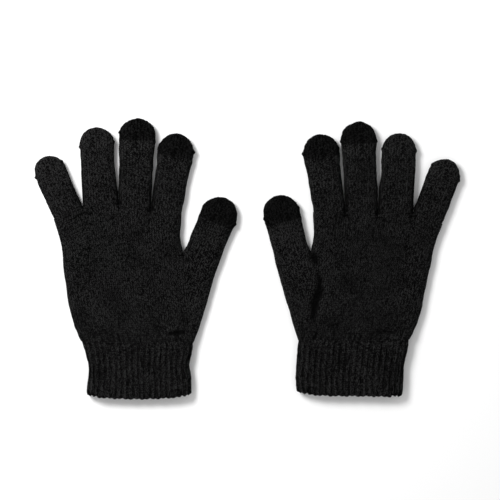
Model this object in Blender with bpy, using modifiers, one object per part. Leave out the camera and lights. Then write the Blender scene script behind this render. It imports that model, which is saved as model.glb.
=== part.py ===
"""A pair of touchscreen knit gloves, laid flat side by side, palm side up.

Each glove is a set of hollow knitted sections: cuff, palm, thumb and four fingers, five fingertips,
an elastic thread inside the cuff and four closing stitches at the finger forks.
Dimensions are in millimetres. A glove's own frame has its origin in the middle of the wrist line,
+X to the thumb and +Y to the fingertips. The left glove is built the same way and mirrored in X.
"""
import math

import bmesh
import bpy
from mathutils import Matrix, Vector

MM = 0.001

FLAT = 9.0  # laid-flat thickness of the palm and the fingers
CUFF_FLAT = 11.0  # laid-flat thickness of the ribbed cuff
WALL = 1.6  # thickness of one layer of knit
GAP = 0.3  # clearance between neighbouring sections
STEP_GAP = 1.5  # clearance below the thumb's base, which turns there
TAPER_END = 0.16  # share of the palm's length over which the cuff's thickness falls to the palm's
ARC_STEPS = 4  # segments in each rounded side of a flat tube
FORK_HOLE = 3.0  # distance above the thumb's fork where the sides close

ELASTIC_RADIUS = 0.4
ELASTIC_TURNS = 4
STITCH_RADIUS = 0.6
STITCH_SPAN = 9.0
STITCH_SAG = 1.5

PAIR_SHIFT = (0.5, -0.25)  # puts the middle of the pair's footprint on the origin

FINGERS = ("little", "ring", "middle", "index")
TIP_LENGTH = {"thumb": 20.5, "index": 17.5, "middle": 16.8, "ring": 14.0, "little": 14.0}
CONDUCTIVE = ("thumb", "index", "middle")

# knuckles: the fork points along the finger line, from the little finger's outer side to the index's.
# caps: middle and radius of each round fingertip.
# crease: the fold at the base of the thumb, from its lower end to the fork.
RIGHT = {
    "name": "right",
    "origin": (-82.0, -61.8),
    "mirror": 1,
    "knuckles": [(-62.4, 91.6), (-41.0, 100.6), (-14.2, 102.1), (9.4, 98.3), (32.8, 96.9)],
    "caps": {
        "little": (-65.2, 127.0, 11.9),
        "ring": (-30.5, 147.1, 13.0),
        "middle": (-0.4, 153.1, 13.8),
        "index": (27.9, 141.9, 13.8),
        "thumb": (60.3, 94.6, 13.8),
    },
    "crease": [(39.7, 16.0), (33.5, 67.0)],
    "little_side": [(-41.7, 0.0), (-44.0, 4.5), (-49.2, 17.9), (-54.4, 49.2), (-57.0, 73.0), (-62.4, 91.6)],
    "thumb_side": [(41.7, 0.0), (46.2, 13.0), (51.4, 31.3), (58.9, 55.1), (66.5, 75.0)],
    "index_side": [(33.5, 67.0), (31.8, 80.0), (32.8, 96.9)],
    "thumb_inside": [(33.5, 67.0), (38.0, 76.0)],
    "cuff_little_side": [(-41.7, 0.0), (-39.5, -6.0), (-37.3, -18.0), (-37.3, -28.0), (-38.4, -42.8)],
    "cuff_thumb_side": [(41.7, 0.0), (40.6, -6.0), (38.4, -18.0), (39.5, -28.0), (40.4, -42.8)],
    "hem_rise": (2.4, 2.8),
}
LEFT = {
    "name": "left",
    "origin": (78.6, -60.3),
    "mirror": -1,
    "knuckles": [(-65.9, 86.4), (-44.3, 95.4), (-17.9, 93.1), (6.0, 95.4), (29.9, 95.4)],
    "caps": {
        "little": (-67.4, 122.9, 12.1),
        "ring": (-33.9, 141.2, 12.9),
        "middle": (-3.7, 149.4, 13.6),
        "index": (23.8, 139.7, 14.1),
        "thumb": (53.6, 94.2, 13.8),
    },
    "crease": [(39.0, 16.0), (31.7, 66.3)],
    "little_side": [(-41.3, 0.0), (-44.3, 6.0), (-48.8, 17.9), (-55.5, 47.7), (-60.2, 70.0), (-65.9, 86.4)],
    "thumb_side": [(41.3, 0.0), (45.1, 11.9), (49.9, 29.8), (57.0, 53.6), (61.8, 74.5)],
    "index_side": [(31.7, 66.3), (29.6, 80.0), (29.9, 95.4)],
    "thumb_inside": [(31.7, 66.3), (35.4, 74.5)],
    "cuff_little_side": [(-41.3, 0.0), (-40.3, -6.0), (-38.2, -19.4), (-37.3, -29.8), (-36.3, -43.2)],
    "cuff_thumb_side": [(41.3, 0.0), (42.1, -6.0), (42.8, -19.4), (43.4, -29.8), (42.6, -43.2)],
    "hem_rise": (0.8, 4.1),
}


def clear_scene():
    for obj in list(bpy.data.objects):
        bpy.data.objects.remove(obj)


def make_collection(name):
    collection = bpy.data.collections.new(name)
    bpy.context.scene.collection.children.link(collection)
    return collection


def make_material(name, colour, roughness):
    material = bpy.data.materials.new(name)
    material.use_nodes = True
    shader = material.node_tree.nodes["Principled BSDF"]
    shader.inputs["Base Color"].default_value = (*colour, 1.0)
    shader.inputs["Roughness"].default_value = roughness
    shader.inputs["Metallic"].default_value = 0.0
    return material


def curve_point(points, share):
    """The point at a share of the way along a smooth curve through the points."""
    spans = len(points) - 1
    place = min(max(share, 0.0), 1.0) * spans
    k = min(int(place), spans - 1)
    t = place - k
    p1, p2 = Vector(points[k]), Vector(points[k + 1])
    p0 = Vector(points[k - 1]) if k > 0 else 2 * p1 - p2
    p3 = Vector(points[k + 2]) if k + 2 <= spans else 2 * p2 - p1
    bend = (2 * p0 - 5 * p1 + 4 * p2 - p3) * t**2 + (3 * p1 - p0 - 3 * p2 + p3) * t**3
    return p1 + ((p2 - p0) * t + bend) / 2


def x_at_height(points, y):
    """The X of a smooth curve that rises or falls steadily in Y, at the height y."""
    rising = points[-1][1] > points[0][1]
    low, high = 0.0, 1.0
    for _ in range(40):
        middle = (low + high) / 2
        if (curve_point(points, middle).y < y) == rising:
            low = middle
        else:
            high = middle
    return curve_point(points, low).x


def flat_section(width, height, flats, open_side=None, base=0.0):
    """Points (share across the width, z) round a flat tube's section, from its lower left.

    The sides are half circles, or half ellipses on a narrow section. On an open side the flats run out
    to the edge, and the side's own points are left over.
    """
    inset = min(height / 2, width * 0.4) / width
    left = 0.0 if open_side == "left" else inset
    right = 1.0 if open_side == "right" else 1.0 - inset
    across = [left + (right - left) * k / flats for k in range(flats + 1)]
    angles = [math.pi * k / ARC_STEPS for k in range(1, ARC_STEPS)]
    lower = [(share, base) for share in across]
    right_arc = [(1.0 - inset + inset * math.sin(a), base + height / 2 * (1 - math.cos(a))) for a in angles]
    upper = [(share, base + height) for share in reversed(across)]
    left_arc = [(inset - inset * math.sin(a), base + height / 2 * (1 + math.cos(a))) for a in angles]
    return lower + right_arc + upper + left_arc


def loft(sections, flats, open_sides=None, pole=None):
    """A skin over sections of equal point counts, left open where either section has an open side."""
    mesh = bmesh.new()
    rings = [[mesh.verts.new(point) for point in section] for section in sections]
    count = len(rings[0])
    open_sides = open_sides or [None] * len(rings)
    right_arc = range(flats, flats + ARC_STEPS)
    left_arc = range(count - ARC_STEPS, count)
    for k in range(len(rings) - 1):
        sides = {open_sides[k], open_sides[k + 1]}
        for i in range(count):
            if (i in right_arc and "right" in sides) or (i in left_arc and "left" in sides):
                continue
            j = (i + 1) % count
            mesh.faces.new((rings[k][i], rings[k][j], rings[k + 1][j], rings[k + 1][i]))
    if pole:
        top = mesh.verts.new(pole)
        for i in range(count):
            mesh.faces.new((rings[-1][i], rings[-1][(i + 1) % count], top))
    unused = [vert for vert in mesh.verts if not vert.link_faces]
    bmesh.ops.delete(mesh, geom=unused, context="VERTS")
    return mesh


def to_world(glove, x, y, z):
    return Vector((
        (glove["origin"][0] + glove["mirror"] * x + PAIR_SHIFT[0]) * MM,
        (glove["origin"][1] + y + PAIR_SHIFT[1]) * MM,
        z * MM,
    ))


def face_outwards(skin):
    """Turns a skin's faces away from its middle, where most of them don't face away already."""
    skin.normal_update()
    middle = sum((vert.co for vert in skin.verts), Vector()) / len(skin.verts)
    spread = [(face.calc_center_median() - middle).dot(face.normal) * face.calc_area() for face in skin.faces]
    if sum(spread) < 0:
        bmesh.ops.reverse_faces(skin, faces=skin.faces)


def knit_object(glove, part, skin, material, collection, pivot=None, even=True):
    """Turns a skin in the glove's frame into a hollow section whose wall grows inwards."""
    for vert in skin.verts:
        vert.co = to_world(glove, *vert.co)
    face_outwards(skin)
    mesh = bpy.data.meshes.new(f"{glove['name']}_{part}")
    skin.to_mesh(mesh)
    skin.free()
    obj = bpy.data.objects.new(f"{glove['name']}_{part}", mesh)
    collection.objects.link(obj)
    mesh.materials.append(material)
    wall = obj.modifiers.new("wall", "SOLIDIFY")
    wall.thickness = WALL * MM
    wall.offset = -1.0
    wall.use_even_offset = even
    mesh.shade_smooth()
    place_on_pivot(obj, pivot)
    return obj


def place_on_pivot(obj, pivot):
    """Hangs an object whose data is in world coordinates on an empty, with its origin there."""
    if pivot is None:
        return
    obj.data.transform(Matrix.Translation(-pivot.location))
    obj.parent = pivot


def make_pivot(glove, name, point, collection):
    pivot = bpy.data.objects.new(f"{glove['name']}_{name}", None)
    pivot.location = to_world(glove, *point)
    pivot.empty_display_size = 0.01
    collection.objects.link(pivot)
    return pivot


def knuckle_at(glove, share):
    """The finger line from the little finger's outer side (0) to the index's (1), a quarter for each."""
    place = min(share, 0.9999) * len(FINGERS)
    k = int(place)
    return Vector(glove["knuckles"][k]).lerp(Vector(glove["knuckles"][k + 1]), place - k)


def palm_height(share):
    return FLAT + (CUFF_FLAT - FLAT) * max(0.0, 1.0 - share / TAPER_END)


def palm_section(glove, share, open_side, flats):
    """One section of the palm at a share of its length, bent like the finger line near the fingers."""
    little, index = Vector(glove["knuckles"][0]), Vector(glove["knuckles"][-1])
    left_x = x_at_height(glove["little_side"], share * little.y)
    right_y = share * index.y
    low_end, fork = glove["crease"]
    if open_side:
        along = (right_y - low_end[1]) / (fork[1] - low_end[1])
        right_x = low_end[0] + (fork[0] - low_end[0]) * along - GAP / 2
    elif right_y < low_end[1]:
        right_x = x_at_height(glove["thumb_side"], right_y)
    else:
        right_x = x_at_height(glove["index_side"], right_y) - GAP
    points = []
    for across, z in flat_section(right_x - left_x, palm_height(share), flats, open_side):
        knuckle = knuckle_at(glove, across)
        sideways = (knuckle.x - little.x) / (index.x - little.x)
        blend = share**2
        x = left_x + (right_x - left_x) * (across + (sideways - across) * blend)
        points.append((x, share * (knuckle.y - GAP / 2) + (1 - share) * GAP / 2, z))
    return points


def make_palm(glove, material, collection):
    top = glove["knuckles"][-1][1]
    low_end, fork = glove["crease"]
    step = (low_end[1] - STEP_GAP) / top
    first_open, last_open = low_end[1] / top, (fork[1] - FORK_HOLE / 3) / top
    closed_again = (fork[1] + FORK_HOLE) / top
    rows = [(0.0, None), (step / 2, None), (step, None), (first_open, "right")]
    rows += [(first_open + (last_open - first_open) * k / 3, "right") for k in (1, 2, 3)]
    rows += [(closed_again, None), ((closed_again + 1) / 2, None), (1.0, None)]
    flats = 12
    sections = [palm_section(glove, share, side, flats) for share, side in rows]
    skin = loft(sections, flats, [side for _, side in rows])
    return knit_object(glove, "palm", skin, material, collection)


def straight_section(left, right, height, flats, open_side=None, base=0.0):
    """A section of a flat tube between two edge points in plan."""
    left, right = Vector(left), Vector(right)
    points = []
    for across, z in flat_section((right - left).length, height, flats, open_side, base):
        plan = left.lerp(right, across)
        points.append((plan.x, plan.y, z))
    return points


def cap_edges(glove, finger, base_middle, above):
    """The two edge points of a finger at a distance above its cap's middle, along the finger."""
    x, y, radius = glove["caps"][finger]
    middle = Vector((x, y))
    along = (middle - base_middle).normalized()
    across = Vector((along.y, -along.x))
    half = math.sqrt(max(radius**2 - max(above, 0.0) ** 2, 0.0))
    centre = middle + along * above
    return centre - across * half, centre + across * half


def finger_base(glove, finger):
    """The two fork points that the finger stands between."""
    k = FINGERS.index(finger)
    return Vector(glove["knuckles"][k]), Vector(glove["knuckles"][k + 1])


def thumb_middle(glove):
    """The middle of the thumb level with its fork, from which the thumb points to its cap."""
    fork = Vector(glove["crease"][1])
    return fork.lerp(Vector((x_at_height(glove["thumb_side"], fork.y - 4), fork.y - 4)), 0.5)


def make_finger(glove, finger, material, collection, pivot):
    left, right = finger_base(glove, finger)
    middle = (left + right) / 2
    seam = TIP_LENGTH[finger] - glove["caps"][finger][2]
    end_left, end_right = cap_edges(glove, finger, middle, -seam)
    along = (Vector(glove["caps"][finger][:2]) - middle).normalized()
    inwards = (right - left).normalized() * GAP
    rows = 4
    sections = []
    for k in range(rows + 1):
        share = k / rows
        lift = along * GAP / 2 * (1 - 2 * share)
        a = (left + inwards).lerp(end_left, share) + lift
        b = (right - inwards).lerp(end_right, share) + lift
        sections.append(straight_section(a, b, FLAT, 4))
    return knit_object(glove, f"{finger}_sleeve", loft(sections, 4), material, collection, pivot)


def make_thumb(glove, material, collection, pivot):
    """The thumb's tube, with a base that is open along the crease towards the palm."""
    low_end, fork = (Vector(p) for p in glove["crease"])
    low_end.y += 2 * GAP
    seam = TIP_LENGTH["thumb"] - glove["caps"]["thumb"][2]
    end_left, end_right = cap_edges(glove, "thumb", thumb_middle(glove), -seam)
    above_fork = [fork, glove["thumb_inside"][1], end_left]
    start_right = (x_at_height(glove["thumb_side"], low_end.y), low_end.y)
    outside = [start_right] + glove["thumb_side"][2:] + [end_right]
    rows, open_rows = 8, 5
    sections, sides = [], []
    for k in range(rows + 1):
        share = k / rows
        if k < open_rows:
            a = low_end.lerp(fork, k / (open_rows - 1)) + Vector((GAP / 2, 0.0))
        else:
            a = curve_point(above_fork, (k - open_rows + 1) / (rows - open_rows + 1)) + Vector((2 * GAP, 0.0))
        b = curve_point(outside, share)
        lower = (b - a).normalized().orthogonal() * (GAP / 2 if k == rows else 0.0)
        if lower.y > 0:
            lower.negate()
        side = "left" if k < open_rows else None
        sections.append(straight_section(a + lower, b + lower, FLAT, 4, side))
        sides.append(side)
    return knit_object(glove, "thumb_sleeve", loft(sections, 4, sides), material, collection, pivot)


def make_tip(glove, finger, material, collection, pivot):
    """A round fingertip that closes the end of its sleeve."""
    if finger == "thumb":
        middle = thumb_middle(glove)
    else:
        left, right = finger_base(glove, finger)
        middle = (left + right) / 2
    x, y, radius = glove["caps"][finger]
    seam = TIP_LENGTH[finger] - radius
    levels = [-seam + GAP / 2, 0.0] + [radius * math.sin(math.radians(a)) for a in (28, 52, 70, 82)]
    sections = []
    for above in levels:
        left, right = cap_edges(glove, finger, middle, above)
        slope = math.sqrt(max(1 - (max(above, 0) / radius) ** 2, 0))
        height = FLAT * (0.62 + 0.38 * slope)
        sections.append(straight_section(left, right, height, 4, base=(FLAT - height) / 2))
    along = (Vector((x, y)) - middle).normalized()
    apex = Vector((x, y)) + along * radius
    skin = loft(sections, 4, pole=(apex.x, apex.y, FLAT / 2))
    return knit_object(glove, f"{finger}_tip", skin, material, collection, pivot, even=False)


def cuff_edges(glove, share):
    """The cuff's two edge points, from the wrist line (0) to the hem (1)."""
    return curve_point(glove["cuff_little_side"], share), curve_point(glove["cuff_thumb_side"], share)


def cuff_drop(glove, share, across):
    """How far the hem's corners rise above its middle, growing from nothing at the wrist."""
    rise_left, rise_right = glove["hem_rise"]
    out = 2 * across - 1
    return (rise_left if out < 0 else rise_right) * out**2 * share**2


def make_cuff(glove, material, collection):
    rows, flats = 6, 12
    sections = []
    for k in range(rows + 1):
        share = k / rows
        left, right = cuff_edges(glove, share)
        points = []
        for across, z in flat_section((right - left).length, CUFF_FLAT, flats):
            plan = left.lerp(right, across)
            points.append((plan.x, plan.y + cuff_drop(glove, share, across) - GAP / 2 * (1 - share), z))
        sections.append(points)
    return knit_object(glove, "cuff", loft(sections, flats), material, collection)


def wire_object(glove, name, points, radius, material, collection):
    """A round thread through points given in the glove's frame."""
    curve = bpy.data.curves.new(f"{glove['name']}_{name}", "CURVE")
    curve.dimensions = "3D"
    curve.bevel_depth = radius * MM
    curve.bevel_resolution = 1
    curve.use_fill_caps = True
    spline = curve.splines.new("POLY")
    spline.points.add(len(points) - 1)
    for vertex, point in zip(spline.points, points):
        vertex.co = (*to_world(glove, *point), 1.0)
    curve.materials.append(material)
    obj = bpy.data.objects.new(f"{glove['name']}_{name}", curve)
    collection.objects.link(obj)
    return obj


def make_elastic(glove, material, collection):
    """One elastic thread wound round inside the cuff, from the wrist to the hem."""
    room = WALL + GAP + ELASTIC_RADIUS
    height = CUFF_FLAT - 2 * room
    steps = len(flat_section(1.0, 0.5, 4))
    points = []
    for k in range(steps * ELASTIC_TURNS + 1):
        share = 0.08 + 0.84 * k / (steps * ELASTIC_TURNS)
        left, right = cuff_edges(glove, share)
        width = (right - left).length
        across, z = flat_section(width - 2 * room, height, 4, base=room)[k % steps]
        across = (room + across * (width - 2 * room)) / width
        plan = left.lerp(right, across)
        points.append((plan.x, plan.y + cuff_drop(glove, share, across), z))
    return wire_object(glove, "elastic_thread", points, ELASTIC_RADIUS, material, collection)


def make_stitch(glove, name, middle, material, collection):
    """A short sagging bar of thread across a fork, on the palm's upper face."""
    z = FLAT + GAP + STITCH_RADIUS
    points = []
    for k in range(7):
        out = k / 3 - 1
        points.append((middle.x + out * STITCH_SPAN / 2, middle.y - STITCH_SAG * (1 - out**2), z))
    return wire_object(glove, f"stitch_{name}", points, STITCH_RADIUS, material, collection)


def make_glove(glove, materials, collection):
    knit, conductive, elastic, thread = materials
    make_cuff(glove, knit, collection)
    make_palm(glove, knit, collection)
    make_elastic(glove, elastic, collection)
    fork = glove["crease"][1]
    pivots = {"thumb": make_pivot(glove, "thumb_pivot", (*fork, FLAT), collection)}
    for finger in FINGERS:
        left, right = finger_base(glove, finger)
        point = ((left.x + right.x) / 2, min(left.y, right.y), FLAT)
        pivots[finger] = make_pivot(glove, f"{finger}_pivot", point, collection)
        make_finger(glove, finger, knit, collection, pivots[finger])
    make_thumb(glove, knit, collection, pivots["thumb"])
    for finger, pivot in pivots.items():
        make_tip(glove, finger, conductive if finger in CONDUCTIVE else knit, collection, pivot)
    forks = dict(zip(("ring", "middle", "index"), glove["knuckles"][1:4]))
    for name, point in forks.items():
        make_stitch(glove, name, Vector(point) - Vector((0, 5)), thread, collection)
    make_stitch(glove, "thumb", Vector(fork) - Vector((STITCH_SPAN / 2 + 3, 7)), thread, collection)


def main():
    clear_scene()
    collection = make_collection("touchscreen_gloves")
    materials = (
        make_material("charcoal_knit", (0.010, 0.010, 0.010), 0.9),
        make_material("conductive_knit", (0.005, 0.005, 0.005), 0.85),
        make_material("elastic_rubber", (0.03, 0.03, 0.03), 0.6),
        make_material("stitching_thread", (0.006, 0.006, 0.006), 0.8),
    )
    for glove in (RIGHT, LEFT):
        make_glove(glove, materials, collection)


main()
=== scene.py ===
"""The looks of a pair of black knitted touchscreen gloves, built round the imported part.

Lengths are in millimetres in a glove's own frame: its origin is in the middle of the wrist line, +X
goes to the thumb and +Y to the fingertips. The left glove is mirrored in X. The plan sizes nearly repeat the
part's: some tips and edges are up to a millimetre off, and the fingers are pressed together at the forks.
"""
import math

import bmesh
import bpy
import numpy as np
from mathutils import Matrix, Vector


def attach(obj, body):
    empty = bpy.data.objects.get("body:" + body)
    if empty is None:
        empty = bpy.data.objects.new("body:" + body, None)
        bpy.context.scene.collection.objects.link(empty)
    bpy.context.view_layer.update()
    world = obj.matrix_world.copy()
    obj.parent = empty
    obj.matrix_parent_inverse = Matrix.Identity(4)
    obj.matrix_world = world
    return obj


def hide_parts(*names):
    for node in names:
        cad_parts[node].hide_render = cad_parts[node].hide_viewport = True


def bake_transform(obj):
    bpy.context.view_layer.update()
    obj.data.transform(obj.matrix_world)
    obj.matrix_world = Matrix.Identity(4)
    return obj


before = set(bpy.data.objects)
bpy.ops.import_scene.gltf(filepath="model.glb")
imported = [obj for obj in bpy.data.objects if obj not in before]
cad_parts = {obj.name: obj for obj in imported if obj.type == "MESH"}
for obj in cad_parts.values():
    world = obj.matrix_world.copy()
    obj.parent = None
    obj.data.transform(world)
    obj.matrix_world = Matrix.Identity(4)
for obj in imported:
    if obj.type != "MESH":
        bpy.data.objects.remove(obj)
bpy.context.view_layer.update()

MM = 0.001
FLAT = 9.0  # laid-flat thickness of palm and fingers
CUFF_FLAT = 11.0  # laid-flat thickness of the cuff
TAPER_END = 0.16  # share of the palm over which the cuff's thickness falls to the palm's
WALL = 1.6  # thickness of one layer of knit
GAP = 0.3  # clearance between neighbouring sections
DEEPEST = -1.25  # the relief stays above the wall's inner face
PAIR_SHIFT = (0.5, -0.25)
EDGE = 7.5  # width of the rounding along a closed side
FORK_DIP = 8.0  # length over which the palm closes towards a finger fork
THUMB_DIP = 14.0  # the same at the thumb's fork
THUMB_SPANS = 3  # spans of the thumb's outer side that lie below its fork
THUMB_REACH = 26.0  # stretch of the thumb from its fork to its tip
WRIST_WIDTH = 83.0
ROUND_SIDES = 3.4  # what a tube's round sides add to its flat width, along the surface
CREASE_FADE = 1.2  # the relief grows from nothing over this distance from a seam
CURVE_STEPS = 200

WALE = 2.03  # stitch width along the surface
COURSE = 1.49  # stitch height
PER_WALE = 4
ROW = COURSE / 2
SLEEVE_START = 66.0  # course numbers at the start of sleeves and tips, which keep their yarn different
TIP_START = 96.0
STITCH_DEPTH = 0.42
SLANT = 0.85  # courses that each leg of a stitch rises
RIBS = 20  # on each side of the cuff
PER_RIB = 8
RIB_DEPTH = 1.2
HEM_ROLL = 0.9  # how far the hem's rolled edge reaches below its last full row
HEM_CORNER = 2.2  # rounding of the hem's two corners
SLIT = 0.4  # space left between two fingers that lie against each other
PRESSED = 0.6  # share of the thickness that the pressed sides keep
SWELL = 0.3  # how far the palm's and thumb's closed sides stand out
EAR_HEIGHT = 1.2  # half height of the corners of a knitted tip
ELASTIC_TURNS = 4
ELASTIC_STEPS = 44  # points in each turn
ELASTIC_RADIUS = 0.4
THREAD_RADIUS = 0.5
BLEND_LENGTH = 21.0  # stretch along a finger's tube above its base

FINGERS = ("little", "ring", "middle", "index")
TIP_LENGTH = {"thumb": 20.5, "index": 17.5, "middle": 16.8, "ring": 14.0, "little": 14.0}
CONDUCTIVE = ("thumb", "index", "middle")

RIGHT = {
    "name": "right",
    "origin": (-82.0, -61.8),
    "mirror": 1,
    "seed": 11,
    "falloff_shade": 0.0,  # painted shade: how much darker this glove's yarn is drawn, for the key light's falloff across the pair
    "knuckles": [(-62.4, 91.6), (-41.0, 100.6), (-14.2, 102.1), (9.4, 98.3), (32.8, 96.9)],
    "caps": {
        "little": (-65.2, 127.0, 11.9),
        "ring": (-30.5, 147.1, 13.0),
        "middle": (-0.4, 153.1, 13.8),
        "index": (28.1, 141.9, 13.6),
        "thumb": (60.3, 94.6, 13.8),
    },
    "fork": (33.5, 67.0),
    "little_side": [
        (-41.7, 0.0), (-44.0, 4.5), (-49.2, 17.9), (-54.4, 49.2), (-57.0, 73.0), (-62.4, 91.6),
    ],
    "thumb_side": [(41.7, 0.0), (46.2, 13.0), (51.4, 31.3), (58.9, 55.1), (66.5, 75.0)],
    "index_side": [(33.5, 67.0), (31.8, 80.0), (32.8, 96.9)],
    "thumb_inside": [(33.5, 67.0), (38.0, 76.0)],
    "cuff_little_side": [(-41.7, 0.0), (-39.5, -6.0), (-37.3, -18.0), (-37.3, -28.0), (-38.4, -42.8)],
    "cuff_thumb_side": [(41.7, 0.0), (41.4, -6.0), (38.8, -18.0), (39.8, -28.0), (40.8, -42.8)],
    "hem_rise": (2.4, 2.8),
    "hem_lift": 0.5,
    # how far above each fork the two fingers lie against each other
    "touching": (0.0, 9.0, 17.0),
    # how far each finger's two sides curve in between the palm and the tip
    "waist": {"little": (-0.5, 0.3), "ring": (0.0, 0.7), "middle": (0.0, 0.7), "index": (0.6, 0.4)},
    # how much lighter the yarn is towards each tip
    "lighter": {"little": 0.8, "ring": 0.68, "middle": 0.0, "index": 0.0, "thumb": 0.0},
    # the corners of each knitted tip, on the little finger's side and the thumb's side:
    # how far it stands out, and how far above the cap's middle it is
    "ears": {
        "little": ((1.1, 0.2), (0.5, 4.2)),
        "ring": ((1.0, -1.0), (0.6, 1.0)),
        "middle": ((1.1, 2.5), (0.4, -4.0)),
        "index": ((0.3, 3.6), (1.5, 1.6)),
        "thumb": ((0.2, 2.0), (1.2, -1.6)),
    },
    # folds: points along the fold, depth, half width
    "folds": [
        ([(23.0, 6.0), (28.5, 7.2), (35.5, 7.8)], 1.7, 1.5),
        ([(36.0, 22.0), (33.0, 12.0)], 0.7, 4.6),
        ([(-38.0, 5.0), (-28.0, 7.0), (-18.0, 9.5)], 0.6, 1.6),
        ([(34.5, 62.0), (38.0, 60.0)], 1.0, 1.6),
    ],
    "stitches": {
        "ring": [
            (-47.3, 91.9), (-45.0, 94.2), (-43.0, 95.2), (-40.4, 96.4), (-38.5, 96.6), (-36.6, 95.6),
            (-34.6, 95.8),
        ],
        "middle": [(-15.4, 100.8), (-14.0, 100.0), (-12.8, 99.6)],
        "index": [(5.9, 98.6), (8.2, 98.3), (11.0, 98.3), (13.6, 98.6)],
        "thumb": [(30.2, 64.4), (33.0, 64.9), (35.8, 63.6), (38.2, 61.8)],
    },
}
LEFT = {
    "name": "left",
    "origin": (78.6, -60.3),
    "mirror": -1,
    "seed": 29,
    # painted shade: this glove's yarn is drawn darker for the key light's falloff
    "falloff_shade": 0.14,
    "knuckles": [(-65.9, 86.4), (-44.3, 95.4), (-17.9, 93.1), (6.0, 95.4), (29.9, 95.4)],
    "caps": {
        "little": (-67.4, 122.9, 12.1),
        "ring": (-33.9, 141.2, 12.9),
        "middle": (-3.9, 149.4, 13.4),
        "index": (24.0, 139.7, 13.7),
        "thumb": (53.6, 94.2, 13.8),
    },
    "fork": (31.7, 66.3),
    "little_side": [
        (-41.3, 0.0), (-44.3, 6.0), (-48.8, 17.9), (-55.5, 47.7), (-60.2, 70.0), (-65.9, 86.4),
    ],
    "thumb_side": [(41.3, 0.0), (45.1, 11.9), (49.9, 29.8), (57.0, 53.6), (61.8, 74.5)],
    "index_side": [(31.7, 66.3), (29.6, 80.0), (29.9, 95.4)],
    "thumb_inside": [(31.7, 66.3), (35.4, 74.5)],
    "cuff_little_side": [(-41.3, 0.0), (-40.3, -6.0), (-38.2, -19.4), (-37.3, -29.8), (-36.3, -43.2)],
    "cuff_thumb_side": [(41.3, 0.0), (42.1, -6.0), (42.8, -19.4), (43.4, -29.8), (42.6, -43.2)],
    "hem_rise": (0.8, 3.2),
    "hem_lift": 1.6,
    "touching": (1.0, 18.5, 14.0),
    "waist": {"little": (-0.3, 0.0), "ring": (0.0, 0.4), "middle": (0.3, 0.5), "index": (0.5, 0.4)},
    "lighter": {"little": 0.3, "ring": 0.25, "middle": 0.1, "index": 0.1, "thumb": 1.0},
    "ears": {
        "little": ((0.9, 0.0), (0.7, 4.5)),
        "ring": ((0.7, 0.5), (0.6, 0.5)),
        "middle": ((0.7, -2.0), (0.8, -1.0)),
        "index": ((0.4, 2.0), (0.9, 1.0)),
        "thumb": ((0.5, 1.0), (1.0, -0.5)),
    },
    "folds": [
        ([(26.0, 50.0), (25.2, 42.0), (25.6, 34.0)], 1.1, 2.6),
        ([(25.6, 37.0), (28.4, 28.0), (30.5, 15.0)], 1.5, 2.8),
        ([(30.5, 65.0), (27.6, 56.5)], 1.7, 2.6),
        ([(-36.0, 5.0), (-24.0, 6.5), (-12.0, 6.0)], 0.5, 1.8),
    ],
    "stitches": {
        "ring": [(-47.0, 92.8), (-44.6, 92.2), (-42.2, 92.0), (-40.0, 91.2)],
        "middle": [(-20.6, 91.0), (-18.4, 91.2), (-16.0, 91.0)],
        "index": [(4.2, 93.4), (6.2, 93.0), (8.2, 93.4)],
        "thumb": [(25.6, 61.6), (28.6, 62.4), (31.4, 61.6), (33.6, 60.4)],
    },
}


# ---------------------------------------------------------------- curves and sections

def smooth(t):
    t = np.clip(t, 0.0, 1.0)
    return t * t * (3 - 2 * t)


def bulge(distance, reach=EDGE):
    """Share of the full thickness at a distance from a closed side."""
    t = np.clip(np.asarray(distance, float) / reach, 0.0, 1.0)
    return np.sqrt(np.maximum(1 - (1 - t) ** 2, 0.0))


def curve(points, steps=CURVE_STEPS):
    """A smooth curve through the points, with the given steps in each span."""
    p = np.array(points, float)
    p = np.vstack([2 * p[0] - p[1], p, 2 * p[-1] - p[-2]])
    t = np.linspace(0, 1, steps + 1)[:, None]
    out = []
    for k in range(1, len(p) - 2):
        p0, p1, p2, p3 = p[k - 1:k + 3]
        bend = (2 * p0 - 5 * p1 + 4 * p2 - p3) * t**2 + (3 * p1 - p0 - 3 * p2 + p3) * t**3
        span = p1 + ((p2 - p0) * t + bend) / 2
        out.append(span if k == 1 else span[1:])
    return np.vstack(out)


def lengths(line):
    steps = np.linalg.norm(np.diff(line, axis=0), axis=1)
    return np.concatenate([[0.0], np.cumsum(steps)])


def even(line, steps):
    """The line resampled at equal distances, into the given number of steps."""
    run = lengths(line)
    at = np.linspace(0, run[-1], steps + 1)
    return np.stack([np.interp(at, run, line[:, k]) for k in range(line.shape[1])], axis=1)


def x_at(points, y):
    line = curve(points)
    order = np.argsort(line[:, 1])
    return float(np.interp(y, line[order, 1], line[order, 0]))


def clustered(steps=48):
    """Shares from 0 to 1, closer together near both ends."""
    return (1 - np.cos(np.linspace(0, math.pi, steps + 1))) / 2


def ring_of(plans, halves, counts, middle):
    """One section: its stretches on the upper layer, then back along the lower layer.

    plans and halves hold, for each stretch, points in plan and half the thickness there.
    """
    top, bottom = [], []
    for plan, half, count in zip(plans, halves, counts):
        up = even(np.column_stack([plan, middle + half]), count)
        down = even(np.column_stack([plan, middle - half]), count)
        top.append(up if not top else up[1:])
        bottom.append(down if not bottom else down[1:])
    return np.vstack([np.vstack(top), np.vstack(bottom)[::-1]])


def inner_ring(ring, middle, inset=WALL):
    """The section inside a ring, one wall thickness in."""
    centre = ring.mean(axis=0)
    out = ring.copy()
    plan = ring[:, :2] - centre[:2]
    reach = max(np.linalg.norm(plan, axis=1).max(), 0.1)
    out[:, :2] = centre[:2] + plan * max(1 - inset / reach, 0.3)
    half = np.abs(ring[:, 2] - middle)
    out[:, 2] = middle + np.sign(ring[:, 2] - middle) * np.maximum(half - inset, 0.3 * half)
    return out


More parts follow.
